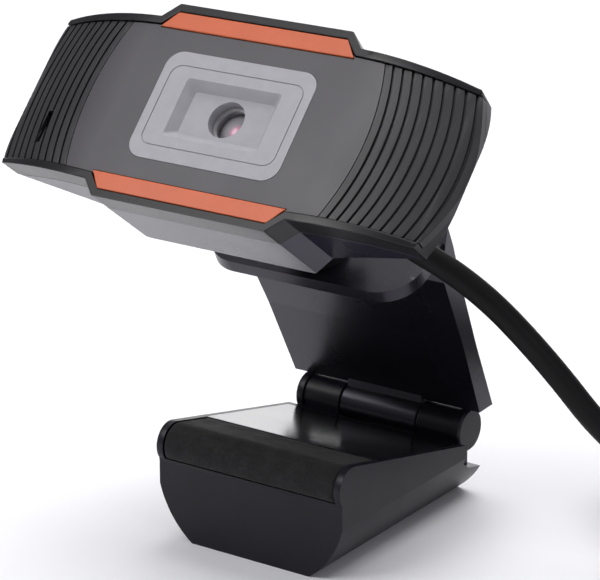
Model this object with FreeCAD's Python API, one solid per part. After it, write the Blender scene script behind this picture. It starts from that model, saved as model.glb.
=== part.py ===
import FreeCAD, Part
import math
import os

# Webcam on a folding clip stand. Millimetres, +Z up, the lens looks towards -Y and upwards.
# The origin is the centre of the foot's underside.

V = FreeCAD.Vector
X_AXIS = V(1, 0, 0)
Y_AXIS = V(0, 1, 0)
Z_AXIS = V(0, 0, 1)

# ---- head: local frame has its origin on the face centre, +Y into the head, +Z up the face ----
HEAD_AT = V(0, -28.9, 75.0)
HEAD_PITCH = 43.0            # how far the face leans back
CORNER_X = 38.0              # end corner of the head
CORNER_Z = 13.6
BULGE_X = 40.6               # ends bulge to this half width
STEP_FOOT = (18.4, 14.55)    # where the raised middle starts
STEP_TOP = (15.95, 17.05)    # top of the raised middle
FLAT_X = 20.0                # the face is flat to here, then curves back
FACE_R = 42.0
END_R = 2.4
SIDE_Q = 13.8                # depth where the tapering sides meet the back
SIDE_X = 22.0
BACK_Q = 16.8                # depth of the back's upper and lower edges
BACK_MID_Q = 20.3            # depth of the back at its middle
BACK_EDGE_Z = 15.8           # half height over which the back swells
REAR_TAPER = 0.11            # how much each mm of depth lowers the outline
BEZEL_DEPTH = 5.0
RIM = 1.3                    # width of the rim round the panels
PANEL_T = 1.5
PANEL_SINK = 0.35            # panels lie this far behind the rim
WALL = 1.6
GAP = 0.15
SPLIT_X = 23.1               # seam between the centre panel and the ribbed ends
SPLIT_BULGE = 2.2
TRIM_IN = (17.75, 12.85)     # orange trim: inner corner
TRIM_OUT = (15.55, 15.65)    # orange trim: outer corner
RIB_COUNT = 9
RIB_PITCH = 1.6
RIB_GROOVE = 0.42
RIB_DEPTH = 0.45
MIC_SLOT = (-31.7, -6.6, 1.1, 5.6)      # x, z, width, height

# ---- camera parts inside the head ----
WINDOW = (13.8, 9.25, 2.8)   # half width, half height, corner radius
HOOD_OUT = (8.7, 5.05)
HOOD_IN = (7.4, 3.7)
HOOD_DEPTH = 1.6
HOOD_LINE = (12.3, 7.0)
HOOD_T = 3.2
LENS_HOLE_R = 3.1
BARREL_R = 5.0
BOARD_Q = 12.6
BOARD_T = 1.0

# ---- arm and saddle ----
HINGE_Y = 17.9
HINGE_Z = 12.8
HINGE_R = 3.3
PIN_R = 1.2
RUNNING = 0.05               # radial clearance of a running fit
KNUCKLE_SPLIT = 7.6
KNUCKLE_GAP = 0.5
BARREL_HALF = 14.9
CAP_T = 1.5
CAP_R = 3.7
ARM_PROFILE = [(17.3, 16.5), (10.4, 30.5), (3.2, 43.2), (2.6, 48.0), (3.2, 52.6),
               (5.2, 49.0), (9.3, 40.0), (14.7, 29.2), (21.4, 16.7)]
ARM_LOW = (18.2, 16.3)       # half width and height at the arm's foot
ARM_HIGH = (19.9, 46.0)
ARM_WALL = 1.4
ARM_CAVITY_TOP = (7.4, 44.2)
ARM_COVER_T = 1.1
ARM_SCREWS = (-11.0, 11.0)
SADDLE_SLOPE = 26.6          # the saddle plate slopes down towards the front
SADDLE_AT = (0.0, 46.0)      # a point of its underside, Y and Z
SADDLE_T = 2.2
SADDLE_FRONT = 8.9           # how far it reaches forward along the slope
SADDLE_BACK = 5.5
SADDLE_HALF = 19.6
SADDLE_CORNER = 6.5
SADDLE_RIM = 1.4
SADDLE_DISH = 0.9

# ---- neck ----
NECK_OUT = -1.6              # swivel axis, measured along the saddle from SADDLE_AT
DISC_R = 4.9
DISC_T = 1.6
POST_R = 4.0
TILT_HEIGHT = 12.5           # tilt axis above the saddle's dished face
LUG_HALF = 3.0
EAR_T = 2.2
EAR_GAP = 0.3
TILT_R = 3.6
TILT_PIN_R = 1.0

# ---- foot ----
FOOT_FRONT = -22.3
FOOT_REAR = 22.3
TOP_REAR = (14.3, 11.5)      # rear edge of the sloping top
TOP_SLOPE = 12.7             # rises towards the front
NOSE_AT = (-19.6, 15.6)      # centre of the rounded nose
NOSE_R = 3.45
NECK_IN_Z = 13.0             # the nose necks in to the front wall here
REAR_TOP_Z = 5.0
FOOT_HALF = 17.7
CREASE_Z = 9.2
BASE_HALF = 11.4
PAD_REAR_Y = -11.0
PAD_T = 1.6
PAD_HALF = 16.4
FOOT_WALL = 1.8
FOOT_SCREWS = (-9.0, 9.0)

# ---- cable ----
CABLE_D = 4.0
EXIT_LOCAL = V(16.5, 17.3, -3.0)
GROMMET_DIR = V(0.60, 0.50, -0.62)
GROMMET_L = 9.5
TIE_T = 0.8
COIL_AT = (65.0, 38.5)
COIL_MID_R = 20.5
COIL_COLUMNS = 3             # turns side by side
COIL_LAYERS = 4
# The route of the free stretch, from the grommet's tip to where it joins the coil.
ROUTE = [V(28.6, -9.4, 50.6), V(34.2, -6.4, 45.6), V(39.2, -3.6, 39.6), V(43.8, -0.8, 33.2),
         V(48.2, 1.9, 26.4), V(53.6, 4.9, 20.6), V(60.2, 8.4, 16.9), V(68.0, 12.5, 15.0), V(76.12, 16.67, 14.8)]
# The route of the tail, from the coil's lowest outer turn to the plug beside it.
TAIL = [V(81.71, 56.42, 2.8), V(75.67, 61.67, 2.5), V(68.96, 66.03, 2.9), V(61.60, 69.15, 3.8)]
PLUG_TURN = 71.0             # heading of the plug, turned from +Y towards -X
PLUG_RELIEF = 7.0
PLUG_BODY = (20.0, 14.0, 7.6)
PLUG_SHELL = (15.0, 12.0, 4.5)

HEAD = FreeCAD.Placement(HEAD_AT, FreeCAD.Rotation(X_AXIS, -HEAD_PITCH))
SADDLE = FreeCAD.Placement(V(0, SADDLE_AT[0], SADDLE_AT[1]), FreeCAD.Rotation(X_AXIS, SADDLE_SLOPE))


# ---------------------------------------------------------------- helpers
def placed(shape, placement):
    out = shape.copy()
    out.Placement = placement.multiply(out.Placement)
    return out


def box(x0, x1, y0, y1, z0, z1):
    return Part.makeBox(x1 - x0, y1 - y0, z1 - z0, V(x0, y0, z0))


def rod(start, direction, radius, length):
    return Part.makeCylinder(radius, length, start, direction)


def rod_x(y, z, radius, x0, x1):
    return rod(V(x0, y, z), X_AXIS, radius, x1 - x0)


def chain(points):
    """A closed wire. A plain pair is a corner, and ("arc", middle, end) is an arc from the last one."""
    edges = []
    first = last = points[0]
    for step in list(points[1:]) + [first]:
        if isinstance(step, tuple) and step[0] == "arc":
            edges.append(Part.Arc(last, step[1], step[2]).toShape())
            last = step[2]
        elif last.distanceToPoint(step) > 1e-6:
            edges.append(Part.LineSegment(last, step).toShape())
            last = step
    return Part.Wire(edges)


def prism(wire, along):
    return Part.Face(wire).extrude(along)


def side_prism(points, half):
    """Extrudes a Y-Z outline to both sides of the middle."""
    return prism(chain([V(-half, y, z) for y, z in points]), V(2 * half, 0, 0))


def rounded(half_x, half_z, radius, y):
    """A rounded rectangle's wire in the plane Y = y."""
    k = radius * (1 - math.sqrt(0.5))
    x, z, r = half_x, half_z, radius
    return chain([
        V(-x + r, y, z), V(x - r, y, z), ("arc", V(x - k, y, z - k), V(x, y, z - r)),
        V(x, y, -z + r), ("arc", V(x - k, y, -z + k), V(x - r, y, -z)),
        V(-x + r, y, -z), ("arc", V(-x + k, y, -z + k), V(-x, y, -z + r)),
        V(-x, y, z - r), ("arc", V(-x + k, y, z - k), V(-x + r, y, z)),
    ])


def screw(head_at, direction, length, radius, head_r, head_t):
    """A pan-head screw with a cross recess; direction points from the head to the tip."""
    d = V(direction).normalize()
    head = rod(head_at - d * head_t, d, head_r, head_t)
    body = head.fuse(rod(head_at, d, radius, length))
    slot = box(-head_r * 0.7, head_r * 0.7, -0.2, 0.2, -0.1, head_t * 0.5)
    cross = slot.fuse(slot.rotated(V(0, 0, 0), Z_AXIS, 90))
    turn = FreeCAD.Rotation(Z_AXIS, d)
    return body.cut(placed(cross, FreeCAD.Placement(head_at - d * head_t, turn)))


def group(shapes):
    return Part.makeCompound(shapes)


NODES = {}


def keep(name, shape):
    NODES[name] = shape


# ---------------------------------------------------------------- head envelope
def outline(y, inset, drop=0.0):
    """The head's front outline in the plane Y = y, moved in by inset and lowered by drop."""
    k = 0.414 * inset
    cx, cz = CORNER_X - inset, CORNER_Z - inset - drop
    fx, fz = STEP_FOOT[0] - k, STEP_FOOT[1] - inset - drop
    tx, tz = STEP_TOP[0] - k, STEP_TOP[1] - inset - drop
    bx = BULGE_X - inset
    return chain([
        V(-tx, y, tz), V(tx, y, tz), V(fx, y, fz), V(cx, y, cz),
        ("arc", V(bx, y, 0), V(cx, y, -cz)),
        V(fx, y, -fz), V(tx, y, -tz), V(-tx, y, -tz), V(-fx, y, -fz), V(-cx, y, -cz),
        ("arc", V(-bx, y, 0), V(-cx, y, cz)), V(-fx, y, fz),
    ])


def plan(inset):
    """The head's plan, flat in front and tapering to the back, as a tall prism."""
    end_x = BULGE_X - END_R
    front_end = face_depth(end_x - 0.6)
    q = front_end + END_R
    k = END_R * math.sqrt(0.5)
    mid = (FLAT_X + end_x - 0.6) / 2
    wire = chain([
        V(-FLAT_X, inset, -30), V(FLAT_X, inset, -30),
        ("arc", V(mid, face_depth(mid) + inset, -30), V(end_x - 0.6 - inset * 0.5, front_end + inset, -30)),
        ("arc", V(end_x + k - inset, q - k * 0.6, -30), V(BULGE_X - inset, q, -30)),
        ("arc", V(BULGE_X - 0.7 - inset, q + 1.3, -30), V(BULGE_X - 2.4 - inset, q + 2.2 - inset * 0.6, -30)),
        V(SIDE_X, SIDE_Q - inset, -30), V(STEP_TOP[0], BACK_Q - inset, -30),
        ("arc", V(0, BACK_MID_Q - inset, -30), V(-STEP_TOP[0], BACK_Q - inset, -30)),
        V(-SIDE_X, SIDE_Q - inset, -30),
        V(-BULGE_X + 2.4 + inset, q + 2.2 - inset * 0.6, -30),
        ("arc", V(-BULGE_X + 0.7 + inset, q + 1.3, -30), V(-BULGE_X + inset, q, -30)),
        ("arc", V(-end_x - k + inset, q - k * 0.6, -30), V(-end_x + 0.6 + inset * 0.5, front_end + inset, -30)),
        ("arc", V(-mid, face_depth(mid) + inset, -30), V(-FLAT_X, inset, -30)),
    ])
    return prism(wire, V(0, 0, 60))


def face_depth(x):
    """How far the curved face lies behind its flat middle."""
    over = max(0.0, abs(x) - FLAT_X)
    return FACE_R - math.sqrt(FACE_R ** 2 - over ** 2)


def back_profile(inset):
    """The head's side view: the back swells between its upper and lower edges."""
    b = BACK_Q - inset
    wire = chain([
        V(-50, -2, -20), V(-50, b, -20), V(-50, b, -BACK_EDGE_Z + inset),
        ("arc", V(-50, BACK_MID_Q - inset, 0), V(-50, b, BACK_EDGE_Z - inset)),
        V(-50, b, 20), V(-50, -2, 20),
    ])
    return prism(wire, V(100, 0, 0))


def envelope(inset):
    """The head's whole outer form, moved in by inset."""
    back = BACK_MID_Q + 2
    loft = Part.makeLoft([outline(-1, inset, -REAR_TAPER), outline(back, inset, REAR_TAPER * back)], True, True)
    return loft.common(plan(inset)).common(back_profile(inset))


def shifted(shape, depth):
    out = shape.copy()
    out.translate(V(0, depth, 0))
    return out


def front_layer(solid_plan, near, far):
    """What lies from near to far behind the curved face."""
    return shifted(solid_plan, near).cut(shifted(solid_plan, far))


def panel_region(inset):
    """Everything between the upper and lower rims, out past both ends."""
    k = 0.414 * inset
    fx, fz = STEP_FOOT[0] - k, STEP_FOOT[1] - inset
    tx, tz = STEP_TOP[0] - k, STEP_TOP[1] - inset
    ex, ez = 45.0, CORNER_Z - inset - 0.35
    wire = chain([
        V(-tx, -5, tz), V(tx, -5, tz), V(fx, -5, fz), V(ex, -5, ez), V(ex, -5, -ez), V(fx, -5, -fz),
        V(tx, -5, -tz), V(-tx, -5, -tz), V(-fx, -5, -fz), V(-ex, -5, -ez), V(-ex, -5, ez), V(-fx, -5, fz),
    ])
    return prism(wire, V(0, 40, 0))


def split_band(x_from, x_to):
    """A band between two of the bowed vertical lines, the way the seam and the ribs run."""
    z = 20.0
    sag = SPLIT_BULGE * (z / 12.8) ** 2
    wire = chain([
        V(x_from + SPLIT_BULGE - sag, -5, -z),
        ("arc", V(x_from + SPLIT_BULGE, -5, 0), V(x_from + SPLIT_BULGE - sag, -5, z)),
        V(x_to + SPLIT_BULGE - sag, -5, z),
        ("arc", V(x_to + SPLIT_BULGE, -5, 0), V(x_to + SPLIT_BULGE - sag, -5, -z)),
    ])
    return prism(wire, V(0, 40, 0))


def trim_region(side, grow):
    """The trapezoid that an orange trim fills; side is 1 above and -1 below."""
    ix, iz = TRIM_IN[0] + grow, TRIM_IN[1] - grow
    ox, oz = TRIM_OUT[0] + grow, TRIM_OUT[1] + grow
    wire = chain([V(-ix, -5, side * iz), V(ix, -5, side * iz), V(ox, -5, side * oz), V(-ox, -5, side * oz)])
    return prism(wire, V(0, 40, 0))


# ---------------------------------------------------------------- head parts
def make_head():
    outer = envelope(0)
    inner = envelope(WALL)
    whole_plan = plan(0)
    region = panel_region(RIM)
    front = front_layer(whole_plan, 0, BEZEL_DEPTH)
    pocket = region.cut(shifted(whole_plan, PANEL_SINK + PANEL_T))
    opening = box(-35, 35, -2, 14, -10.8, 10.8)
    bezel = outer.common(front).cut(pocket).cut(opening)
    keep("front_bezel", placed(bezel, HEAD))

    rear = outer.cut(front).cut(inner)
    exit_dir = HEAD.Rotation.inverted().multVec(GROMMET_DIR).normalize()
    rear = rear.cut(rod(EXIT_LOCAL - exit_dir * 6, exit_dir, 3.0, 14))
    for x, z in HOUSING_SCREWS:
        rear = rear.fuse(rod(V(x, BEZEL_DEPTH + face_depth(x) + 0.6, z), Y_AXIS, 2.2, 10).common(inner))
        rear = rear.cut(rod(V(x, 0, z), Y_AXIS, 0.9, 30)).cut(rod(V(x, screw_depth(x) - 1.4, z), Y_AXIS, 1.9, 12))
    rear = rear.fuse(tilt_lug()).removeSplitter()
    keep("rear_housing", placed(rear, HEAD))

    make_panels(outer, whole_plan, region)
    make_camera()
    make_electronics()
    screws = [screw(V(x, screw_depth(x) - 1.4, z), V(0, -1, 0), screw_depth(x) - 6.2, 0.9, 1.8, 1.1)
              for x, z in HOUSING_SCREWS]
    keep("housing_screws", placed(group(screws), HEAD))


HOUSING_SCREWS = [(-26.0, 7.5), (26.0, 7.5), (-26.0, -7.5), (26.0, -7.5)]


def screw_depth(x):
    """Depth of the back where a housing screw goes in."""
    return SIDE_Q - (abs(x) - SIDE_X) * (SIDE_Q - 9.2) / (BULGE_X - 2.4 - SIDE_X)


def tilt_centre():
    """The tilt axis in the world and in the head's frame."""
    world = SADDLE.multVec(V(0, NECK_OUT, SADDLE_T - SADDLE_DISH + TILT_HEIGHT))
    return world, HEAD.inverse().multVec(world)


def tilt_lug():
    """The tongue on the back of the head that the neck's fork holds."""
    local = tilt_centre()[1]
    eye = rod(V(-LUG_HALF, local.y, local.z), X_AXIS, TILT_R, 2 * LUG_HALF)
    web = box(-LUG_HALF, LUG_HALF, BACK_MID_Q - 1.2, local.y, local.z - TILT_R, local.z + TILT_R)
    bore = rod(V(-LUG_HALF - 1, local.y, local.z), X_AXIS, TILT_PIN_R + RUNNING, 2 * LUG_HALF + 2)
    return web.fuse(eye).cut(bore)


def make_panels(outer, whole_plan, region):
    """Centre panel, two ribbed ends and two orange trims, all in one pocket behind the rim."""
    skin = front_layer(whole_plan, PANEL_SINK, PANEL_SINK + PANEL_T).common(outer).common(panel_region(RIM + GAP))
    centre = split_band(-SPLIT_X - 40, SPLIT_X - GAP / 2)
    mirror = centre.mirror(V(0, 0, 0), X_AXIS)
    panel = skin.common(centre).common(mirror)
    panel = panel.cut(trim_region(1, GAP)).cut(trim_region(-1, GAP))
    panel = panel.cut(box(-30, 30, -5, 5, TRIM_IN[1] + 0.45, 30)).cut(box(-30, 30, -5, 5, -30, -TRIM_IN[1] - 0.45))
    panel = panel.cut(prism(rounded(WINDOW[0] + 0.05, WINDOW[1] + 0.05, WINDOW[2], -5), V(0, 20, 0)))
    keep("face_panel", placed(panel, HEAD))

    raised = front_layer(whole_plan, 0.1, PANEL_SINK + PANEL_T)
    for name, side in (("trim_top", 1), ("trim_bottom", -1)):
        keep(name, placed(raised.common(trim_region(side, 0)), HEAD))

    end = skin.common(split_band(SPLIT_X + GAP / 2, SPLIT_X + 40))
    shallow = front_layer(whole_plan, -1, PANEL_SINK + RIB_DEPTH)
    right = end
    for i in range(RIB_COUNT):
        x = SPLIT_X + RIB_PITCH * (i + 0.75)
        right = right.cut(split_band(x, x + RIB_GROOVE).common(shallow))
    left = right.mirror(V(0, 0, 0), X_AXIS)
    sx, sz, sw, sh = MIC_SLOT
    left = left.cut(box(sx - sw / 2, sx + sw / 2, -5, 12, sz - sh / 2, sz + sh / 2))
    keep("grille_right", placed(right, HEAD))
    keep("grille_left", placed(left, HEAD))


def make_camera():
    """The grey hood in the window, and the lens, holder, filter and sensor behind it."""
    y0 = PANEL_SINK - 0.1
    hood = prism(rounded(WINDOW[0], WINDOW[1], WINDOW[2], y0), V(0, HOOD_T, 0))
    wide = rounded(HOOD_OUT[0], HOOD_OUT[1], 0.6, y0 - 0.01)
    narrow = rounded(HOOD_IN[0], HOOD_IN[1], 0.6, y0 + HOOD_DEPTH)
    hood = hood.cut(Part.makeLoft([wide, narrow], True, True))
    hood = hood.cut(rod(V(0, y0 - 1, 0), Y_AXIS, LENS_HOLE_R, 10))
    line = prism(rounded(HOOD_LINE[0], HOOD_LINE[1], 2.0, y0 - 1), V(0, 1.15, 0))
    line = line.cut(prism(rounded(HOOD_LINE[0] - 0.2, HOOD_LINE[1] - 0.2, 1.8, y0 - 2), V(0, 5, 0)))
    keep("lens_hood", placed(hood.cut(line), HEAD))

    back = y0 + HOOD_T + 0.2
    barrel = rod(V(0, back, 0), Y_AXIS, BARREL_R, 5.4).cut(rod(V(0, back - 1, 0), Y_AXIS, LENS_HOLE_R - 0.4, 9))
    barrel = barrel.cut(rod(V(0, back + 0.6, 0), Y_AXIS, LENS_HOLE_R, 1.8))
    keep("lens_barrel", placed(barrel, HEAD))
    dome_r = 4.6
    glass = Part.makeSphere(dome_r, V(0, back + 0.75 + dome_r, 0))
    glass = glass.common(rod(V(0, back, 0), Y_AXIS, LENS_HOLE_R - 0.02, 2.2))
    keep("lens_glass", placed(glass, HEAD))

    holder_y = back + 2.6
    holder = box(-6.5, 6.5, holder_y, BOARD_Q, -6.5, 6.5)
    holder = holder.cut(rod(V(0, holder_y - 1, 0), Y_AXIS, BARREL_R + 0.02, back + 5.6 - holder_y + 1))
    holder = holder.cut(box(-4.5, 4.5, holder_y, BOARD_Q + 1, -4.5, 4.5))
    keep("lens_holder", placed(holder, HEAD))
    keep("ir_filter", placed(box(-3.4, 3.4, back + 5.7, back + 6.1, -3.4, 3.4), HEAD))
    keep("image_sensor", placed(box(-3.5, 3.5, BOARD_Q - 1.3, BOARD_Q, -3.5, 3.5), HEAD))


BOARD_SCREWS = [(-12.5, -7.0), (12.5, 7.0)]


def make_electronics():
    """Circuit board, chips, microphone, cable connector and their screws."""
    board = box(-15.5, 15.5, BOARD_Q, BOARD_Q + BOARD_T, -9.5, 9.5)
    for x, z in BOARD_SCREWS:
        board = board.cut(rod(V(x, BOARD_Q - 1, z), Y_AXIS, 1.05, 3))
    keep("main_board", placed(board, HEAD))
    y = BOARD_Q + BOARD_T
    keep("controller_chip", placed(box(-9.0, -3.0, y, y + 0.9, -2.0, 4.0), HEAD))
    keep("cable_connector", placed(box(2.0, 10.0, y, y + 2.2, -6.5, -3.5), HEAD))
    sx, sz = MIC_SLOT[0], MIC_SLOT[1]
    mic_y = face_depth(sx) + PANEL_SINK + PANEL_T + 0.7
    keep("microphone", placed(rod(V(sx, mic_y, sz), Y_AXIS, 2.0, 2.0), HEAD))
    screws = [screw(V(x, BOARD_Q, z), Y_AXIS, 2.6, 1.0, 1.7, 0.9) for x, z in BOARD_SCREWS]
    keep("board_screws", placed(group(screws), HEAD))


# ---------------------------------------------------------------- neck
def make_neck():
    """A post that swivels on the saddle and forks round the head's lug."""
    base = SADDLE_T - SADDLE_DISH
    disc = rod(V(0, NECK_OUT, base), Z_AXIS, DISC_R, DISC_T)
    post = rod(V(0, NECK_OUT, base), Z_AXIS, POST_R, TILT_HEIGHT - TILT_R - 0.9)
    ear_x = LUG_HALF + EAR_GAP
    fork_low = base + TILT_HEIGHT - TILT_R - 2.6
    half_d = TILT_R - 0.2
    fork = disc.fuse(post)
    fork = fork.fuse(box(-ear_x - EAR_T, ear_x + EAR_T, NECK_OUT - half_d, NECK_OUT + half_d, fork_low, fork_low + 2))
    for side in (-1, 1):
        x0 = min(side * ear_x, side * (ear_x + EAR_T))
        ear = box(x0, x0 + EAR_T, NECK_OUT - half_d, NECK_OUT + half_d, fork_low, base + TILT_HEIGHT)
        fork = fork.fuse(ear).fuse(rod(V(x0, NECK_OUT, base + TILT_HEIGHT), X_AXIS, half_d, EAR_T))
    reach = ear_x + EAR_T
    fork = fork.cut(rod(V(-reach - 1, NECK_OUT, base + TILT_HEIGHT), X_AXIS, TILT_PIN_R, 2 * reach + 2))
    fork = fork.cut(rod(V(0, NECK_OUT, -5), Z_AXIS, 1.2, 12)).removeSplitter()
    keep("neck_fork", placed(fork, SADDLE))

    pin = rod(V(-reach, NECK_OUT, base + TILT_HEIGHT), X_AXIS, TILT_PIN_R, 2 * reach)
    for side in (-1, 1):
        x0 = min(side * reach, side * (reach + 0.7))
        pin = pin.fuse(rod(V(x0, NECK_OUT, base + TILT_HEIGHT), X_AXIS, 1.8, 0.7))
    keep("tilt_pin", placed(pin.removeSplitter(), SADDLE))
    washers = []
    for side in (-1, 1):
        x0 = min(side * (LUG_HALF + 0.03), side * (ear_x - 0.03))
        ring = rod(V(x0, NECK_OUT, base + TILT_HEIGHT), X_AXIS, 2.6, EAR_GAP - 0.06)
        washers.append(ring.cut(rod(V(x0 - 1, NECK_OUT, base + TILT_HEIGHT), X_AXIS, TILT_PIN_R, 3)))
    keep("tilt_washers", placed(group(washers), SADDLE))
    bolt = screw(V(0, NECK_OUT, -0.5), Z_AXIS, 6.0, 1.2, 2.6, 1.0)
    keep("swivel_screw", placed(bolt, SADDLE))
    ring = rod(V(0, NECK_OUT, -0.45), Z_AXIS, 3.4, 0.4).cut(rod(V(0, NECK_OUT, -2), Z_AXIS, 1.2, 4))
    keep("swivel_washer", placed(ring, SADDLE))


# ---------------------------------------------------------------- arm
def shrink(points, wall):
    """Moves each side of a closed outline in by wall."""
    area = sum(a[0] * b[1] - b[0] * a[1] for a, b in zip(points, points[1:] + points[:1]))
    turn = 1 if area > 0 else -1
    moved = []
    n = len(points)
    for i in range(n):
        a, b, c = points[i - 1], points[i], points[(i + 1) % n]
        u = V(b[0] - a[0], b[1] - a[1], 0).normalize()
        w = V(c[0] - b[0], c[1] - b[1], 0).normalize()
        n1, n2 = V(-u.y, u.x, 0) * turn, V(-w.y, w.x, 0) * turn
        miter = (n1 + n2) * (wall / (1 + n1.dot(n2)))
        moved.append((b[0] + miter.x, b[1] + miter.y))
    return moved


def arm_width(inset):
    """The arm's front view, wider at the top, as a prism along Y."""
    (x0, z0), (x1, z1) = ARM_LOW, ARM_HIGH
    grow = (x1 - x0) / (z1 - z0)
    top = 60.0
    wide = x0 + grow * (top - z0) - inset
    low = x0 - inset
    wire = chain([V(-low, -40, z0 - 4), V(low, -40, z0 - 4), V(wide, -40, top), V(-wide, -40, top)])
    return prism(wire, V(0, 90, 0))


def saddle_outline(inset, z):
    """The D-shaped saddle in its own plane, rounded in front."""
    x, f, r = SADDLE_HALF - inset, -SADDLE_FRONT + inset, SADDLE_CORNER - inset
    k = r * (1 - math.sqrt(0.5))
    back = SADDLE_BACK
    return chain([
        V(-x + r, f, z), V(x - r, f, z), ("arc", V(x - k, f + k, z), V(x, f + r, z)),
        V(x, back, z), V(-x, back, z), V(-x, f + r, z), ("arc", V(-x + k, f + k, z), V(-x + r, f, z)),
    ])


def make_arm():
    """A thin hollow arm that leans forward, with the saddle on top and the middle knuckle below."""
    outer = side_prism(ARM_PROFILE, 30).common(arm_width(0))
    hollow = shrink(ARM_PROFILE[:3] + [ARM_CAVITY_TOP] + ARM_PROFILE[6:], ARM_WALL)
    cavity = side_prism(hollow, 30).common(arm_width(ARM_WALL)).common(box(-40, 40, -40, 60, 19.5, 43.0))
    saddle = placed(prism(saddle_outline(0, 0), V(0, 0, SADDLE_T)), SADDLE)
    saddle = saddle.cut(side_prism([(3.2, 20), (3.2, 60), (60, 60), (60, 20)], 60))
    dish = prism(saddle_outline(SADDLE_RIM, SADDLE_T - SADDLE_DISH), V(0, 0, 5))
    arm = outer.cut(cavity).cut(back_strip(outer, 0)).fuse(saddle)
    arm = arm.cut(placed(dish, SADDLE).cut(outer))
    arm = arm.cut(placed(rod(V(0, NECK_OUT, -5), Z_AXIS, 1.2 + RUNNING, 12), SADDLE))
    arm = arm.cut(placed(rod(V(0, NECK_OUT, -5), Z_AXIS, 3.6, 5), SADDLE))
    half = KNUCKLE_SPLIT - KNUCKLE_GAP / 2
    knuckle = rod_x(HINGE_Y, HINGE_Z, HINGE_R, -half, half)
    web = side_prism([(HINGE_Y - 1.2, HINGE_Z + 1.5), (HINGE_Y - 0.9, 17.6), (HINGE_Y + 2.6, 18.6),
                      (HINGE_Y + 2.9, HINGE_Z + 1.5)], half)
    arm = arm.fuse(knuckle).fuse(web)
    arm = arm.cut(rod_x(HINGE_Y, HINGE_Z, PIN_R + RUNNING, -20, 20))
    cover = back_strip(outer, 0.1)
    screws = []
    for x in ARM_SCREWS:
        start, outward = arm_screw_line(x)
        boss = rod(start, outward * -1, 2.0, 3.4).common(side_prism(hollow, 30))
        hole = rod(start + outward, outward * -1, 0.8, 3.9)
        arm = arm.fuse(boss).cut(hole)
        cover = cover.cut(hole).cut(rod(start - outward * 0.7, outward, 1.55, 3))
        screws.append(screw(start - outward * 0.7, outward * -1, 2.1, 0.79, 1.5, 0.6))
    keep("arm_shell", arm.removeSplitter())
    keep("arm_cover", cover)
    keep("arm_screws", group(screws))


def back_strip(outer, gap):
    """The layer of the arm's back that the cover fills."""
    strip = outer.copy()
    strip.translate(V(0, -0.89 * ARM_COVER_T, -0.45 * ARM_COVER_T))
    return outer.cut(strip).common(arm_width(ARM_WALL + gap)).common(box(-40, 40, 6.8, 60, 20.5 + gap, 43.0 - gap))


def arm_screw_line(x):
    """Where a cover screw enters the arm's back, and the outward direction of that face."""
    (y0, z0), (y1, z1) = ARM_PROFILE[6], ARM_PROFILE[7]
    along = V(0, y1 - y0, z1 - z0).normalize()
    outward = V(0, -along.z, along.y)
    return V(x, (y0 + y1) / 2, (z0 + z1) / 2), outward


# ---------------------------------------------------------------- foot
def top_height(y):
    return TOP_REAR[1] + (TOP_REAR[0] - y) * math.tan(math.radians(TOP_SLOPE))


def foot_side(inset, lid=0.0):
    """The foot's side view as a prism: sloping top, rounded nose, level base."""
    slope = math.radians(TOP_SLOPE)
    ny, nz = NOSE_AT
    r = NOSE_R - inset
    top = V(0, ny + r * math.sin(slope), nz + r * math.cos(slope))
    front = V(0, ny - r * math.cos(math.radians(35)), nz - r * math.sin(math.radians(35)))
    mid = V(0, ny - r * math.cos(math.radians(20)), nz + r * math.sin(math.radians(20)))
    d = inset
    ty, tz = TOP_REAR
    points = [
        V(0, ty - d * 0.2, tz - d), top, ("arc", mid, front), V(0, FOOT_FRONT + d, NECK_IN_Z),
        V(0, FOOT_FRONT + d, d), V(0, FOOT_REAR - d, d), V(0, FOOT_REAR - d - 0.3, REAR_TOP_Z - d),
        V(0, HINGE_Y - 1.0, REAR_TOP_Z + 1.5 - d), V(0, TOP_REAR[0] - d * 0.2, HINGE_Z - HINGE_R - 1.4 - d),
    ]
    wire = chain(points)
    wire.translate(V(-30, 0, 0))
    return prism(wire, V(60, 0, 0))


def foot_front(inset):
    """The foot's front view as a prism: upright flanks, a crease, then a tuck-in to the base."""
    w, b, d = FOOT_HALF - inset, BASE_HALF - inset, inset
    wire = chain([
        V(-b, -40, d), V(b, -40, d), ("arc", V(b + 4.0, -40, 4.1 + d * 0.5), V(w, -40, CREASE_Z)),
        V(w, -40, 30), V(-w, -40, 30), V(-w, -40, CREASE_Z), ("arc", V(-b - 4.0, -40, 4.1 + d * 0.5), V(-b, -40, d)),
    ])
    return prism(wire, V(0, 80, 0))


def pad_layer(low, high, half):
    """What lies between two depths under the pad's face, from its rear edge round the nose."""
    layer = foot_side(low).cut(foot_side(high))
    front_top = box(-half, half, FOOT_FRONT - 5, PAD_REAR_Y, NECK_IN_Z + 0.6, 30)
    return layer.common(front_top)


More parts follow.
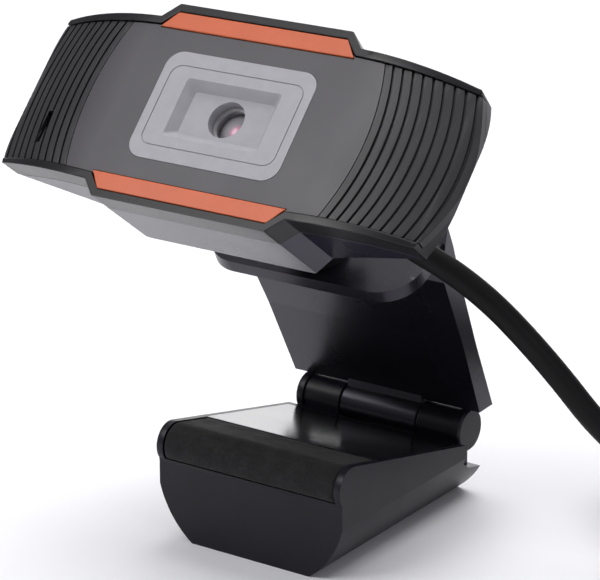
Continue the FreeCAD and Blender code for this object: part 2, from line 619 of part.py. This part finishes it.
def make_foot():
    outer = foot_side(0).common(foot_front(0))
    inner = foot_side(FOOT_WALL).common(foot_front(FOOT_WALL))
    shell = outer.cut(inner)
    lid_zone = side_prism([(PAD_REAR_Y + 0.2, top_height(PAD_REAR_Y + 0.2) + 3), (TOP_REAR[0] - 1.6, 15),
                           (TOP_REAR[0] - 1.6, top_height(TOP_REAR[0] - 1.6) - 1.5),
                           (PAD_REAR_Y + 0.2, top_height(PAD_REAR_Y + 0.2) - 1.5)], FOOT_HALF - 0.9)
    shell = shell.cut(lid_zone)
    shell = shell.cut(pad_layer(-0.5, PAD_T, PAD_HALF + 0.1))
    lo, hi = KNUCKLE_SPLIT + KNUCKLE_GAP / 2, BARREL_HALF
    for side in (-1, 1):
        x0, x1 = sorted((side * lo, side * hi))
        knuckle = rod_x(HINGE_Y, HINGE_Z, HINGE_R, x0, x1)
        web = box(x0, x1, TOP_REAR[0] - 1.5, HINGE_Y + 1.6, REAR_TOP_Z, HINGE_Z - 1.2)
        shell = shell.fuse(knuckle).fuse(web.cut(rod_x(HINGE_Y, HINGE_Z, HINGE_R - 0.3, -20, 20)))
    clear = KNUCKLE_SPLIT + KNUCKLE_GAP / 2
    shell = shell.cut(rod_x(HINGE_Y, HINGE_Z, HINGE_R + 1.2, -clear, clear))
    shell = shell.cut(rod_x(HINGE_Y, HINGE_Z, PIN_R, -20, 20))
    for x in FOOT_SCREWS:
        shell = shell.fuse(rod(V(x, 2, 1.0), Z_AXIS, 2.6, 5.0))
        shell = shell.cut(rod(V(x, 2, -1), Z_AXIS, 1.9, 2.2)).cut(rod(V(x, 2, -1), Z_AXIS, 1.15, 30))
        shell = shell.cut(rod(V(x, 2, 6.0), Z_AXIS, 2.5, 12))
    keep("foot_shell", shell.removeSplitter())

    lid = lid_zone.common(foot_side(0))
    lid = lid.common(box(-FOOT_HALF + 1.0, FOOT_HALF - 1.0, PAD_REAR_Y + 0.3, TOP_REAR[0] - 1.7, 0, 30))
    for x in FOOT_SCREWS:
        lid = lid.fuse(rod(V(x, 2, 6.05), Z_AXIS, 2.4, top_height(2) - 1.2 - 6.05))
        lid = lid.cut(rod(V(x, 2, 5), Z_AXIS, 1.0, 5.2))
    keep("foot_top_plate", lid.removeSplitter())
    keep("foam_pad", pad_layer(0, PAD_T, PAD_HALF))
    screws = [screw(V(x, 2, 1.2), Z_AXIS, 8.5, 0.99, 1.8, 0.9) for x in FOOT_SCREWS]
    keep("foot_screws", group(screws))
    keep("hinge_pin", rod_x(HINGE_Y, HINGE_Z, PIN_R, -BARREL_HALF, BARREL_HALF))
    caps = [rod_x(HINGE_Y, HINGE_Z, CAP_R, *sorted((s * BARREL_HALF, s * (BARREL_HALF + CAP_T)))) for s in (-1, 1)]
    keep("hinge_caps", group([chamfered(c) for c in caps]))
    rings = []
    for side in (-1, 1):
        x0 = side * KNUCKLE_SPLIT - 0.2
        rings.append(rod_x(HINGE_Y, HINGE_Z, 2.6, x0, x0 + 0.4).cut(rod_x(HINGE_Y, HINGE_Z, PIN_R, x0 - 1, x0 + 2)))
    keep("hinge_washers", group(rings))


def chamfered(disc):
    """A disc with its outer rim broken."""
    outer_x = max(disc.BoundBox.XMax, -disc.BoundBox.XMin)
    rims = [e for e in disc.Edges if abs(abs(e.CenterOfMass.x) - outer_x) < 1e-3]
    return disc.makeChamfer(0.35, rims)


# ---------------------------------------------------------------- cable
def rounded_path(points, name):
    """Straight runs joined by tangent arcs, each as large as its two runs allow."""
    edges = []
    last = points[0]
    radii = []
    for i in range(1, len(points) - 1):
        a, b, c = points[i - 1], points[i], points[i + 1]
        u = (b - a).normalize()
        w = (c - b).normalize()
        half = math.acos(max(-1.0, min(1.0, u.dot(w)))) / 2
        cut = 0.45 * min((b - a).Length, (c - b).Length)
        radius = cut / math.tan(half)
        radii.append(round(radius, 1))
        start, end = b - u * cut, b + w * cut
        bisector = (w - u).normalize()
        centre = b + bisector * (radius / math.cos(half))
        middle = centre - bisector * radius
        if last.distanceToPoint(start) > 1e-6:
            edges.append(Part.LineSegment(last, start).toShape())
        edges.append(Part.Arc(start, middle, end).toShape())
        last = end
    edges.append(Part.LineSegment(last, points[-1]).toShape())
    print(name, "radii", radii)
    return Part.Wire(edges)


def tube(points, diameter, name):
    path = rounded_path(points, name)
    direction = (points[1] - points[0]).normalize()
    circle = Part.Wire(Part.makeCircle(diameter / 2, points[0], direction))
    solid = path.makePipeShell([circle], True, True)
    area = math.pi * diameter ** 2 / 4
    print(name, "length", round(path.Length, 1), "volume ratio", round(solid.Volume / (area * path.Length), 4))
    return solid


def make_cable():
    exit_at = HEAD.multVec(EXIT_LOCAL)
    direction = V(GROMMET_DIR).normalize()
    tip = exit_at + direction * GROMMET_L
    grommet = Part.makeCone(3.0, CABLE_D / 2 + 0.35, GROMMET_L, exit_at, direction)
    grommet = grommet.fuse(rod(exit_at - direction * 3.4, direction, 2.95, 3.6))
    grommet = grommet.cut(rod(exit_at - direction * 6, direction, CABLE_D / 2, GROMMET_L + 12)).removeSplitter()
    keep("cable_grommet", grommet)
    start = exit_at - direction * 3.4
    keep("usb_cable", tube([start, tip] + ROUTE, CABLE_D, "usb_cable"))
    span = COIL_COLUMNS * CABLE_D / 2
    height = COIL_LAYERS * CABLE_D
    cx, cy = COIL_AT
    coil = rod(V(cx, cy, TIE_T), Z_AXIS, COIL_MID_R + span, height)
    coil = coil.cut(rod(V(cx, cy, -1), Z_AXIS, COIL_MID_R - span, 30))
    keep("usb_coil", coil)
    band = rod(V(cx, cy, 0), Z_AXIS, COIL_MID_R + span + TIE_T, height + 2 * TIE_T)
    band = band.cut(rod(V(cx, cy, -1), Z_AXIS, COIL_MID_R - span - TIE_T, 30)).cut(coil)
    ties = [band.common(box(cx - 40, cx, cy - 2.5, cy + 2.5, -1, 30)),
            band.common(box(cx, cx + 40, cy - 2.5, cy + 2.5, -1, 30))]
    keep("cable_ties", group(ties))
    make_plug()


def make_plug():
    """A USB-A plug that lies beside the coil, and the tail that leads to it."""
    keep("usb_cable_tail", tube(TAIL, CABLE_D, "usb_cable_tail"))
    turn = FreeCAD.Placement(TAIL[-1], FreeCAD.Rotation(Z_AXIS, PLUG_TURN))
    length, width, height = PLUG_BODY
    body = box(-width / 2, width / 2, PLUG_RELIEF, PLUG_RELIEF + length, -height / 2, height / 2)
    body = body.makeFillet(1.4, [e for e in body.Edges if abs(e.tangentAt(e.FirstParameter).y) > 0.9])
    relief = Part.makeCone(CABLE_D / 2 + 0.4, 3.4, PLUG_RELIEF, V(0, 0, 0), Y_AXIS)
    keep("usb_plug_body", placed(body.fuse(relief).removeSplitter(), turn))
    sl, sw, sh = PLUG_SHELL
    y0 = PLUG_RELIEF + length
    shell = box(-sw / 2, sw / 2, y0, y0 + sl, -sh / 2, sh / 2)
    shell = shell.cut(box(-sw / 2 + 0.35, sw / 2 - 0.35, y0 + 0.5, y0 + sl + 1, -sh / 2 + 0.35, sh / 2 - 0.35))
    for x in (-2.6, 2.6):
        shell = shell.cut(box(x - 1.1, x + 1.1, y0 + 5.4, y0 + 7.6, sh / 2 - 1, sh))
    keep("usb_plug_shell", placed(shell, turn))
    tongue = box(-sw / 2 + 0.4, sw / 2 - 0.4, y0 + 0.5, y0 + sl - 0.6, -sh / 2 + 0.36, -0.2)
    keep("usb_plug_tongue", placed(tongue, turn))


def main():
    os.makedirs("parts", exist_ok=True)
    make_foot()
    make_arm()
    make_neck()
    make_head()
    make_cable()
    for name, shape in NODES.items():
        solids = shape.Solids
        bad = [s for s in solids if not s.isValid() or s.Volume < 0.01]
        print(name, "solids", len(solids), "volume", round(shape.Volume, 1), "BAD" if bad or not solids else "")
        shape.exportStep("parts/" + name + ".step")


main()
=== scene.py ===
import bpy
import math
from mathutils import Matrix, Vector


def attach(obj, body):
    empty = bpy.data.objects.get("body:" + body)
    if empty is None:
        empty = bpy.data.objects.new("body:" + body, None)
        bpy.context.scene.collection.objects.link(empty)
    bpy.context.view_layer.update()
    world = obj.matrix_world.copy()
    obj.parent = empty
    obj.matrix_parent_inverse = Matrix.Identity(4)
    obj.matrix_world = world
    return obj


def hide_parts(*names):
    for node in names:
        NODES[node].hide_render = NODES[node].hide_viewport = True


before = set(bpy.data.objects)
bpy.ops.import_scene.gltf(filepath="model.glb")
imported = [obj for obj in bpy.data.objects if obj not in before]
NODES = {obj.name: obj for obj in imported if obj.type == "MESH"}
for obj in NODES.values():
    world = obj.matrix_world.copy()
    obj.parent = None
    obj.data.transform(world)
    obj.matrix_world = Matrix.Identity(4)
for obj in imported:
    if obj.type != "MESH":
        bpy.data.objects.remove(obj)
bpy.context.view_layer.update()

MM = 0.001


# ---------------------------------------------------------------- camera
CAMERA_AZIMUTH = math.radians(34.53)
CAMERA_ELEVATION = math.radians(18.83)
CAMERA_AIM = (-4.60, 37.05)      # across and up the view, from the origin
CAMERA_DISTANCE = 478.14
CAMERA_LENS = 173.61
SENSOR_WIDTH = 36.0


def make_camera():
    """Looks down 19 degrees from the front right, with a long lens."""
    azimuth, elevation = CAMERA_AZIMUTH, CAMERA_ELEVATION
    right = Vector((math.cos(azimuth), math.sin(azimuth), 0))
    up = Vector((-math.sin(azimuth) * math.sin(elevation), math.cos(azimuth) * math.sin(elevation),
                 math.cos(elevation)))
    back = right.cross(up)
    target = right * (CAMERA_AIM[0] * MM) + up * (CAMERA_AIM[1] * MM)
    data = bpy.data.cameras.new("camera")
    data.sensor_width = SENSOR_WIDTH
    data.sensor_fit = "HORIZONTAL"
    data.lens = CAMERA_LENS
    data.clip_start = 0.01
    camera = bpy.data.objects.new("camera", data)
    bpy.context.scene.collection.objects.link(camera)
    turn = Matrix((right, up, back)).transposed().to_4x4()
    camera.matrix_world = Matrix.Translation(target + back * (CAMERA_DISTANCE * MM)) @ turn
    bpy.context.scene.camera = camera


# ---------------------------------------------------------------- cord
CABLE_D = 4.0
CABLE_START = (14.454, -19.999, 63.121)
GROMMET_TIP = (22.216, -13.531, 55.100)
ROUTE = [(28.6, -9.4, 50.6), (34.2, -6.4, 45.6), (39.2, -3.6, 39.6), (43.8, -0.8, 33.2),
         (48.2, 1.9, 26.4), (53.6, 4.9, 20.6), (60.2, 8.4, 16.9), (68.0, 12.5, 15.0), (76.12, 16.67, 14.8)]
TAIL = [(81.71, 56.42, 2.8), (75.67, 61.67, 2.5), (68.96, 66.03, 2.9), (61.60, 69.15, 3.8)]
COIL_AT = (65.0, 38.5)
COIL_COLUMNS = (24.5, 20.5, 16.5)
COIL_LAYERS = (14.8, 10.8, 6.8, 2.8)
COIL_START = -63.0           # angle where the lead joins the coil, degrees
COIL_END = 47.0              # angle where it leaves, eleven turns and a part later
COIL_STEP = 15.0             # degrees between points
SEAT_HOLD = 0.7              # part of a turn spent on its seat
SEAT_EASE = 0.3              # part spent moving to the next one


def coil_points():
    """The turns, wound out to in and in to out, one layer under the other."""
    seats = []
    for i, z in enumerate(COIL_LAYERS):
        radii = COIL_COLUMNS if i % 2 == 0 else COIL_COLUMNS[::-1]
        seats += [(r, z) for r in radii]
    sweep = 360.0 * (len(seats) - 1) + COIL_END - COIL_START
    count = int(round(sweep / COIL_STEP))
    points = []
    for i in range(1, count):
        place = len(seats) * i / count
        seat = min(int(place), len(seats) - 1)
        following = seats[min(seat + 1, len(seats) - 1)]
        ease = max(0.0, (place - seat - SEAT_HOLD) / SEAT_EASE)
        ease = ease * ease * (3 - 2 * ease)
        r = seats[seat][0] + (following[0] - seats[seat][0]) * ease
        z = seats[seat][1] + (following[1] - seats[seat][1]) * ease
        angle = math.radians(COIL_START + sweep * i / count)
        points.append((COIL_AT[0] + r * math.cos(angle), COIL_AT[1] + r * math.sin(angle), z))
    return points


def make_cable():
    """The whole lead on one curve: down from the head, round the coil and out to the plug."""
    points = [CABLE_START, GROMMET_TIP] + ROUTE + coil_points() + TAIL
    data = bpy.data.curves.new("usb_lead", "CURVE")
    data.dimensions = "3D"
    spline = data.splines.new("NURBS")
    spline.points.add(len(points) - 1)
    for point, place in zip(spline.points, points):
        point.co = (place[0] * MM, place[1] * MM, place[2] * MM, 1)
    spline.order_u = 3
    spline.use_endpoint_u = True
    spline.resolution_u = 6
    data.bevel_depth = CABLE_D / 2 * MM
    data.bevel_resolution = 6
    lead = bpy.data.objects.new("usb_lead", data)
    bpy.context.scene.collection.objects.link(lead)
    data.materials.append(MATERIALS["jacket"])
    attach(lead, "head")
    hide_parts("usb_cable", "usb_coil", "usb_cable_tail")


# ---------------------------------------------------------------- materials
PAINTED_REFLECTION_AT = (0.0012, -0.0268, 0.0718)     # middle of the painted pink reflection on the lens glass, metres


class Graph:
    """A small helper round one material's nodes."""

    def __init__(self, name):
        self.material = bpy.data.materials.new(name)
        self.material.use_nodes = True
        self.tree = self.material.node_tree
        self.shader = self.tree.nodes["Principled BSDF"]
        self.place = self.add("ShaderNodeTexCoord").outputs["Object"]

    def add(self, kind, **values):
        node = self.tree.nodes.new(kind)
        for key, value in values.items():
            setattr(node, key, value)
        return node

    def link(self, a, b):
        self.tree.links.new(a, b)

    def noise(self, scale, detail=3.0, stretch=(1, 1, 1)):
        mapping = self.add("ShaderNodeMapping")
        mapping.inputs["Scale"].default_value = stretch
        self.link(self.place, mapping.inputs["Vector"])
        node = self.add("ShaderNodeTexNoise")
        node.inputs["Scale"].default_value = scale
        node.inputs["Detail"].default_value = detail
        self.link(mapping.outputs["Vector"], node.inputs["Vector"])
        return node.outputs["Fac"]

    def ramp(self, factor, low, high, at=(0.35, 0.65)):
        node = self.add("ShaderNodeMapRange")
        node.inputs["From Min"].default_value = at[0]
        node.inputs["From Max"].default_value = at[1]
        node.inputs["To Min"].default_value = low
        node.inputs["To Max"].default_value = high
        self.link(factor, node.inputs["Value"])
        return node.outputs["Result"]

    def blend(self, factor, a, b):
        node = self.add("ShaderNodeMix", data_type="RGBA")
        self.link(factor, node.inputs["Factor"])
        node.inputs[6].default_value = (*a, 1)
        node.inputs[7].default_value = (*b, 1)
        return node.outputs[2]

    def bump(self, height, distance, strength=1.0, normal=None):
        node = self.add("ShaderNodeBump")
        node.inputs["Distance"].default_value = distance
        node.inputs["Strength"].default_value = strength
        self.link(height, node.inputs["Height"])
        if normal is not None:
            self.link(normal, node.inputs["Normal"])
        return node.outputs["Normal"]


def moulded(name, colour, rough, grain=0.02, grain_scale=5200, coat=0.0, coat_rough=0.05, spread=0.12,
            specular=0.5, tint=(1.0, 1.0, 1.0)):
    """Moulded plastic: fine grain, faint mottling, and handling marks in its gloss."""
    g = Graph(name)
    mottle = g.ramp(g.noise(140, 4), 0.0, 1.0)
    low = tuple(c * (1 - spread) for c in colour)
    high = tuple(c * (1 + spread) for c in colour)
    g.link(g.blend(mottle, low, high), g.shader.inputs["Base Color"])
    marks = g.ramp(g.noise(55, 5, (1, 1, 0.6)), rough * 0.88, rough * 1.14, (0.3, 0.7))
    g.link(marks, g.shader.inputs["Roughness"])
    fine = g.bump(g.noise(grain_scale, 2), grain * MM)
    g.link(g.bump(g.noise(260, 2), 0.004 * MM, normal=fine), g.shader.inputs["Normal"])
    g.shader.inputs["Specular IOR Level"].default_value = specular
    g.shader.inputs["Specular Tint"].default_value = (*tint, 1.0)
    g.shader.inputs["Coat Weight"].default_value = coat
    g.shader.inputs["Coat Roughness"].default_value = coat_rough
    return g.material


def metal(name, colour, rough, stretch=(1, 1, 8)):
    """Plated or turned metal with fine drawing lines."""
    g = Graph(name)
    lines = g.noise(1800, 3, stretch)
    dull = tuple(c * 0.85 for c in colour)
    g.link(g.blend(g.ramp(lines, 0.0, 1.0), dull, colour), g.shader.inputs["Base Color"])
    g.shader.inputs["Metallic"].default_value = 1.0
    g.link(g.ramp(g.noise(300, 4), rough * 0.8, rough * 1.3), g.shader.inputs["Roughness"])
    g.link(g.bump(lines, 0.006 * MM), g.shader.inputs["Normal"])
    return g.material


def foam(name):
    """Fine-celled foam rubber: close pits, a dusty sheen and slightly uneven black."""
    g = Graph(name)
    cells = g.add("ShaderNodeTexVoronoi")
    cells.inputs["Scale"].default_value = 1900
    g.link(g.place, cells.inputs["Vector"])
    pits = g.ramp(cells.outputs["Distance"], 1.0, 0.0, (0.0, 0.6))
    g.link(g.blend(g.ramp(g.noise(2600, 4), 0.0, 1.0), (0.009, 0.009, 0.0095), (0.015, 0.015, 0.016)),
           g.shader.inputs["Base Color"])
    g.link(g.ramp(g.noise(400, 3), 0.78, 0.95), g.shader.inputs["Roughness"])
    coarse = g.bump(g.noise(2200, 4), 0.025 * MM)
    g.link(g.bump(pits, 0.04 * MM, 0.7, coarse), g.shader.inputs["Normal"])
    g.shader.inputs["Specular IOR Level"].default_value = 0.25
    g.shader.inputs["Sheen Weight"].default_value = 0.05
    g.shader.inputs["Sheen Roughness"].default_value = 0.5
    return g.material


def frosted(name):
    """The frosted grey of the window frame, finely grained."""
    g = Graph(name)
    g.link(g.blend(g.ramp(g.noise(500, 3), 0.0, 1.0), (0.345, 0.342, 0.368), (0.362, 0.359, 0.386)),
           g.shader.inputs["Base Color"])
    g.link(g.ramp(g.noise(2600, 3), 0.46, 0.52), g.shader.inputs["Roughness"])
    g.link(g.bump(g.noise(6500, 2), 0.012 * MM), g.shader.inputs["Normal"])
    g.shader.inputs["Specular IOR Level"].default_value = 0.35
    g.shader.inputs["Subsurface Weight"].default_value = 0.15
    g.shader.inputs["Subsurface Radius"].default_value = (0.6 * MM, 0.6 * MM, 0.6 * MM)
    g.shader.inputs["Subsurface Scale"].default_value = 1.0
    return g.material


def glass_with_painted_reflection(name):
    """A lens: smoky grey glass with a painted magenta reflection towards one side, standing in for the
    coating's reflection.
    """
    g = Graph(name)
    gap = g.add("ShaderNodeVectorMath", operation="DISTANCE")
    g.link(g.place, gap.inputs[0])
    gap.inputs[1].default_value = PAINTED_REFLECTION_AT
    # painted reflection: a magenta spot blended into the glass colour, fading out round a fixed point
    painted_reflection = g.ramp(gap.outputs["Value"], 1.0, 0.0, (0.0008, 0.0021))
    g.link(g.blend(painted_reflection, (0.36, 0.35, 0.37), (0.85, 0.17, 0.40)), g.shader.inputs["Base Color"])
    g.shader.inputs["Coat Weight"].default_value = 0.35
    g.shader.inputs["Coat Roughness"].default_value = 0.08
    g.link(g.ramp(g.noise(500, 2), 0.24, 0.32), g.shader.inputs["Roughness"])
    return g.material


# tint of the reflections on the outer plastic
LAVENDER = (0.89, 0.86, 1.0)
MATERIALS = {
    "jacket": moulded("cable_jacket", (0.0045, 0.0045, 0.005), 0.46, 0.012, 3200, specular=0.14),
    "grommet": moulded("grommet_rubber", (0.008, 0.008, 0.009), 0.5, 0.02),
    "tie": moulded("tie_plastic", (0.012, 0.012, 0.012), 0.5, 0.02),
    "plug": moulded("plug_plastic", (0.01, 0.01, 0.011), 0.5, 0.03),
    "housing": moulded("head_plastic", (0.0095, 0.0084, 0.0165), 0.26, 0.006, 2600, specular=0.6,
                       tint=LAVENDER),
    "rim": moulded("rim_plastic", (0.007, 0.0063, 0.008), 0.3, 0.006, 2600, specular=0.35),
    "panel": moulded("panel_plastic", (0.053, 0.0495, 0.057), 0.4, 0.012, 6000, spread=0.05),
    "grille": moulded("grille_plastic", (0.018, 0.0165, 0.019), 0.42, 0.012, 6000),
    "trim": moulded("orange_trim", (0.54, 0.100, 0.028), 0.38, 0.008, 5200, spread=0.04),
    "hood": frosted("hood_plastic"),
    "arm": moulded("arm_plastic", (0.006, 0.0055, 0.0085), 0.28, 0.006, 2600, specular=0.55, tint=LAVENDER),
    "foot": moulded("foot_plastic", (0.0065, 0.0058, 0.010), 0.36, 0.008, 3000, specular=0.28),
    "gloss": moulded("gloss_black", (0.006, 0.006, 0.007), 0.22, 0.002, 1800, coat=0.5, coat_rough=0.16),
    "neck": moulded("neck_plastic", (0.010, 0.010, 0.011), 0.42, 0.02),
    "barrel": moulded("barrel_grey", (0.50, 0.495, 0.51), 0.85, 0.015, specular=0.1),
    "glass": glass_with_painted_reflection("lens_glass"),
    "filter": moulded("filter_glass", (0.05, 0.16, 0.18), 0.06, 0.001, coat=1.0),
    "sensor": moulded("sensor", (0.03, 0.03, 0.05), 0.15, 0.002, coat=0.6),
    "board": moulded("board_green", (0.012, 0.09, 0.03), 0.4, 0.02, 1500, coat=0.5),
    "chip": moulded("chip_black", (0.015, 0.015, 0.016), 0.6, 0.03),
    "connector": moulded("connector_white", (0.55, 0.53, 0.47), 0.45, 0.02),
    "washer": moulded("washer_nylon", (0.5, 0.49, 0.45), 0.45, 0.01),
    "tongue": moulded("tongue_plastic", (0.62, 0.62, 0.6), 0.4, 0.01),
    "steel": metal("screw_steel", (0.42, 0.42, 0.43), 0.3),
    "plated": metal("plug_metal", (0.58, 0.57, 0.56), 0.22),
}

LOOKS = {
    "foot_shell": "foot", "foot_top_plate": "gloss", "foot_screws": "steel", "hinge_pin": "steel",
    "hinge_caps": "foot", "hinge_washers": "washer", "arm_shell": "arm", "arm_cover": "arm",
    "arm_screws": "steel",
    "neck_fork": "neck", "tilt_pin": "steel", "tilt_washers": "washer", "swivel_screw": "steel",
    "swivel_washer": "steel", "front_bezel": "rim", "rear_housing": "housing", "face_panel": "panel",
    "trim_top": "trim", "trim_bottom": "trim", "grille_right": "grille", "grille_left": "grille",
    "lens_hood": "hood", "lens_barrel": "barrel", "lens_glass": "glass", "lens_holder": "barrel",
    "ir_filter": "filter", "image_sensor": "sensor", "main_board": "board", "controller_chip": "chip",
    "cable_connector": "connector", "microphone": "chip", "board_screws": "steel", "housing_screws": "steel",
    "cable_grommet": "grommet", "cable_ties": "tie", "usb_plug_body": "plug", "usb_plug_shell": "plated",
    "usb_plug_tongue": "tongue",
}

BEVELS = {
    "foot_shell": 0.45, "foot_top_plate": 0.25, "arm_shell": 0.35, "arm_cover": 0.15, "front_bezel": 0.18,
    "rear_housing": 0.55, "trim_top": 0.15, "trim_bottom": 0.15, "grille_right": 0.1,
    "grille_left": 0.1, "lens_hood": 0.12, "neck_fork": 0.3, "cable_ties": 0.15, "usb_plug_body": 0.15,
    "usb_plug_shell": 0.08, "hinge_caps": 0.12,
}


WELD_GAP = 0.000002
BEVEL_SEGMENTS = 3
BEVEL_ANGLE = math.radians(28)
NORMAL_WEIGHT = 60


def dress_nodes():
    """Gives each carried-over CAD node its material, and softens its sharp edges."""
    for name, look in LOOKS.items():
        node = NODES[name]
        node.data.materials.clear()
        node.data.materials.append(MATERIALS[look])
        if name in BEVELS:
            weld = node.modifiers.new("weld", "WELD")
            weld.merge_threshold = WELD_GAP
            bevel = node.modifiers.new("soft_edges", "BEVEL")
            bevel.width = BEVELS[name] * MM
            bevel.segments = BEVEL_SEGMENTS
            bevel.limit_method = "ANGLE"
            bevel.angle_limit = BEVEL_ANGLE
            bevel.use_clamp_overlap = True
            smooth = node.modifiers.new("even_shading", "WEIGHTED_NORMAL")
            smooth.keep_sharp = True
            smooth.weight = NORMAL_WEIGHT


# ---------------------------------------------------------------- foam pad
PAD_HALF = 16.4
PAD_T = 1.6
PAD_REAR_Y = -11.0
SLOPE = math.radians(12.7)
TOP_REAR = (14.3, 11.5)
NOSE_AT = (-19.6, 15.6)
NOSE_R = 3.45
NOSE_END = math.radians(-33)
PAD_STEPS = 16               # along the slope, and again round the nose
PAD_ACROSS = 48              # from side to side
PAD_CROWDING = 1.35          # draws the columns of faces towards the sides
PAD_ROUND = 0.7              # width of the rounded side edge
PAD_DROP = 0.38              # depth of the rounded edge
PAD_SKIN = 0.05              # mean depth of the skin
PAD_WAVE = 0.035             # unevenness of the skin


def pad_path():
    """Points (y, z) and outward directions along the pad's face, up the slope and round the nose."""
    path = []
    up = (math.sin(SLOPE), math.cos(SLOPE))
    top_y = NOSE_AT[0] + NOSE_R * up[0]
    for i in range(PAD_STEPS):
        y = PAD_REAR_Y + (top_y - PAD_REAR_Y) * i / PAD_STEPS
        path.append(((y, TOP_REAR[1] + (TOP_REAR[0] - y) * math.tan(SLOPE)), up))
    start = math.pi / 2 - SLOPE
    end = math.pi - NOSE_END
    for i in range(PAD_STEPS + 1):
        angle = start + (end - start) * i / PAD_STEPS
        out = (math.cos(angle), math.sin(angle))
        path.append(((NOSE_AT[0] + NOSE_R * out[0], NOSE_AT[1] + NOSE_R * out[1]), out))
    return path


def make_pad():
    """A foam strip wrapped over the foot's nose, crowned, with rounded edges and a slightly uneven skin."""
    path = pad_path()
    across = PAD_ACROSS
    verts = []
    faces = []
    last = len(path) - 1
    for layer in (0, 1):
        for k, ((y, z), out) in enumerate(path):
            for i in range(across + 1):
                s = -1 + 2 * i / across
                x = PAD_HALF * math.copysign(1 - (1 - abs(s)) ** PAD_CROWDING, s)
                side = (PAD_HALF - abs(x)) / PAD_ROUND
                end = min(k, last - k) / 2.0
                near = min(1.0, side, 0.35 + end)
                drop = PAD_DROP * (1 - math.sqrt(max(0.0, 1 - (1 - near) ** 2))) if near < 1 else 0.0
                wave = PAD_WAVE * math.sin(x * 1.9 + k * 0.7) * math.sin(k * 0.55 + x * 0.31)
                depth = drop + PAD_SKIN + wave * 0.6 if layer == 0 else PAD_T
                verts.append((x * MM, (y - out[0] * depth) * MM, (z - out[1] * depth) * MM))
    row = across + 1
    size = row * (last + 1)
    for k in range(last):
        for i in range(across):
            a = k * row + i
            faces.append((a, a + 1, a + row + 1, a + row))
            b = a + size
            faces.append((b, b + row, b + row + 1, b + 1))
    for k in range(last):
        for i in (0, across):
            a, b = k * row + i, (k + 1) * row + i
            faces.append((a, b, b + size, a + size) if i == 0 else (b, a, a + size, b + size))
    for i in range(across):
        for k in (0, last):
            a, b = k * row + i, k * row + i + 1
            faces.append((b, a, a + size, b + size) if k == 0 else (a, b, b + size, a + size))
    mesh = bpy.data.meshes.new("foam_strip")
    mesh.from_pydata(verts, [], faces)
    mesh.validate()
    mesh.update()
    mesh.polygons.foreach_set("use_smooth", [True] * len(mesh.polygons))
    mesh.materials.append(foam("foam_rubber"))
    pad = bpy.data.objects.new("foam_strip", mesh)
    bpy.context.scene.collection.objects.link(pad)
    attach(pad, "foot")
    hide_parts("foam_pad")


# ---------------------------------------------------------------- studio
FLOOR_REACH = 3.0
FLOOR_PAINT = ((0.94, 0.935, 0.96), (0.955, 0.95, 0.975))
ROOM_COLOUR = (0.95, 0.94, 1.0, 1)
ROOM_STRENGTH = 0.27
# name, place, aim, size, watts, colour
LIGHTS = (
    ("key", (-0.35, -0.55, 0.75), (0, 0, 0.04), (0.5, 0.4), 3.9, (1, 1, 1)),
    ("fill", (0.75, -0.15, 0.35), (0, 0, 0.04), (0.4, 0.5), 0.6, (0.95, 0.95, 1.0)),
    ("top", (0.0, 0.25, 0.9), (0, 0, 0.03), (0.9, 0.9), 7.6, (1, 1, 1)),
    ("back", (-0.75, 1.15, 0.2), (0, 0, 0.02), (1.5, 0.5), 4.0, (1, 1, 1)),
)


def area_light(name, at, towards, size, power, colour):
    data = bpy.data.lights.new(name, "AREA")
    data.shape = "RECTANGLE"
    data.size, data.size_y = size
    data.energy = power
    data.color = colour
    light = bpy.data.objects.new(name, data)
    bpy.context.scene.collection.objects.link(light)
    light.location = at
    light.rotation_euler = (Vector(towards) - Vector(at)).to_track_quat("-Z", "Y").to_euler()


def make_studio():
    mesh = bpy.data.meshes.new("floor")
    reach = FLOOR_REACH
    mesh.from_pydata([(-reach, -reach, 0), (reach, -reach, 0), (reach, reach, 0), (-reach, reach, 0)], [],
                     [(0, 1, 2, 3)])
    g = Graph("floor_paint")
    g.link(g.blend(g.ramp(g.noise(6, 3), 0.0, 1.0), *FLOOR_PAINT),
           g.shader.inputs["Base Color"])
    g.shader.inputs["Roughness"].default_value = 0.8
    g.shader.inputs["Specular IOR Level"].default_value = 0.1
    mesh.materials.append(g.material)
    floor = bpy.data.objects.new("floor", mesh)
    bpy.context.scene.collection.objects.link(floor)
    world = bpy.data.worlds.new("studio")
    world.use_nodes = True
    world.node_tree.nodes["Background"].inputs["Color"].default_value = ROOM_COLOUR
    world.node_tree.nodes["Background"].inputs["Strength"].default_value = ROOM_STRENGTH
    bpy.context.scene.world = world
    bpy.context.scene.view_settings.view_transform = "Standard"
    for light in LIGHTS:
        area_light(*light)


make_camera()
make_cable()
dress_nodes()
make_pad()
make_studio()
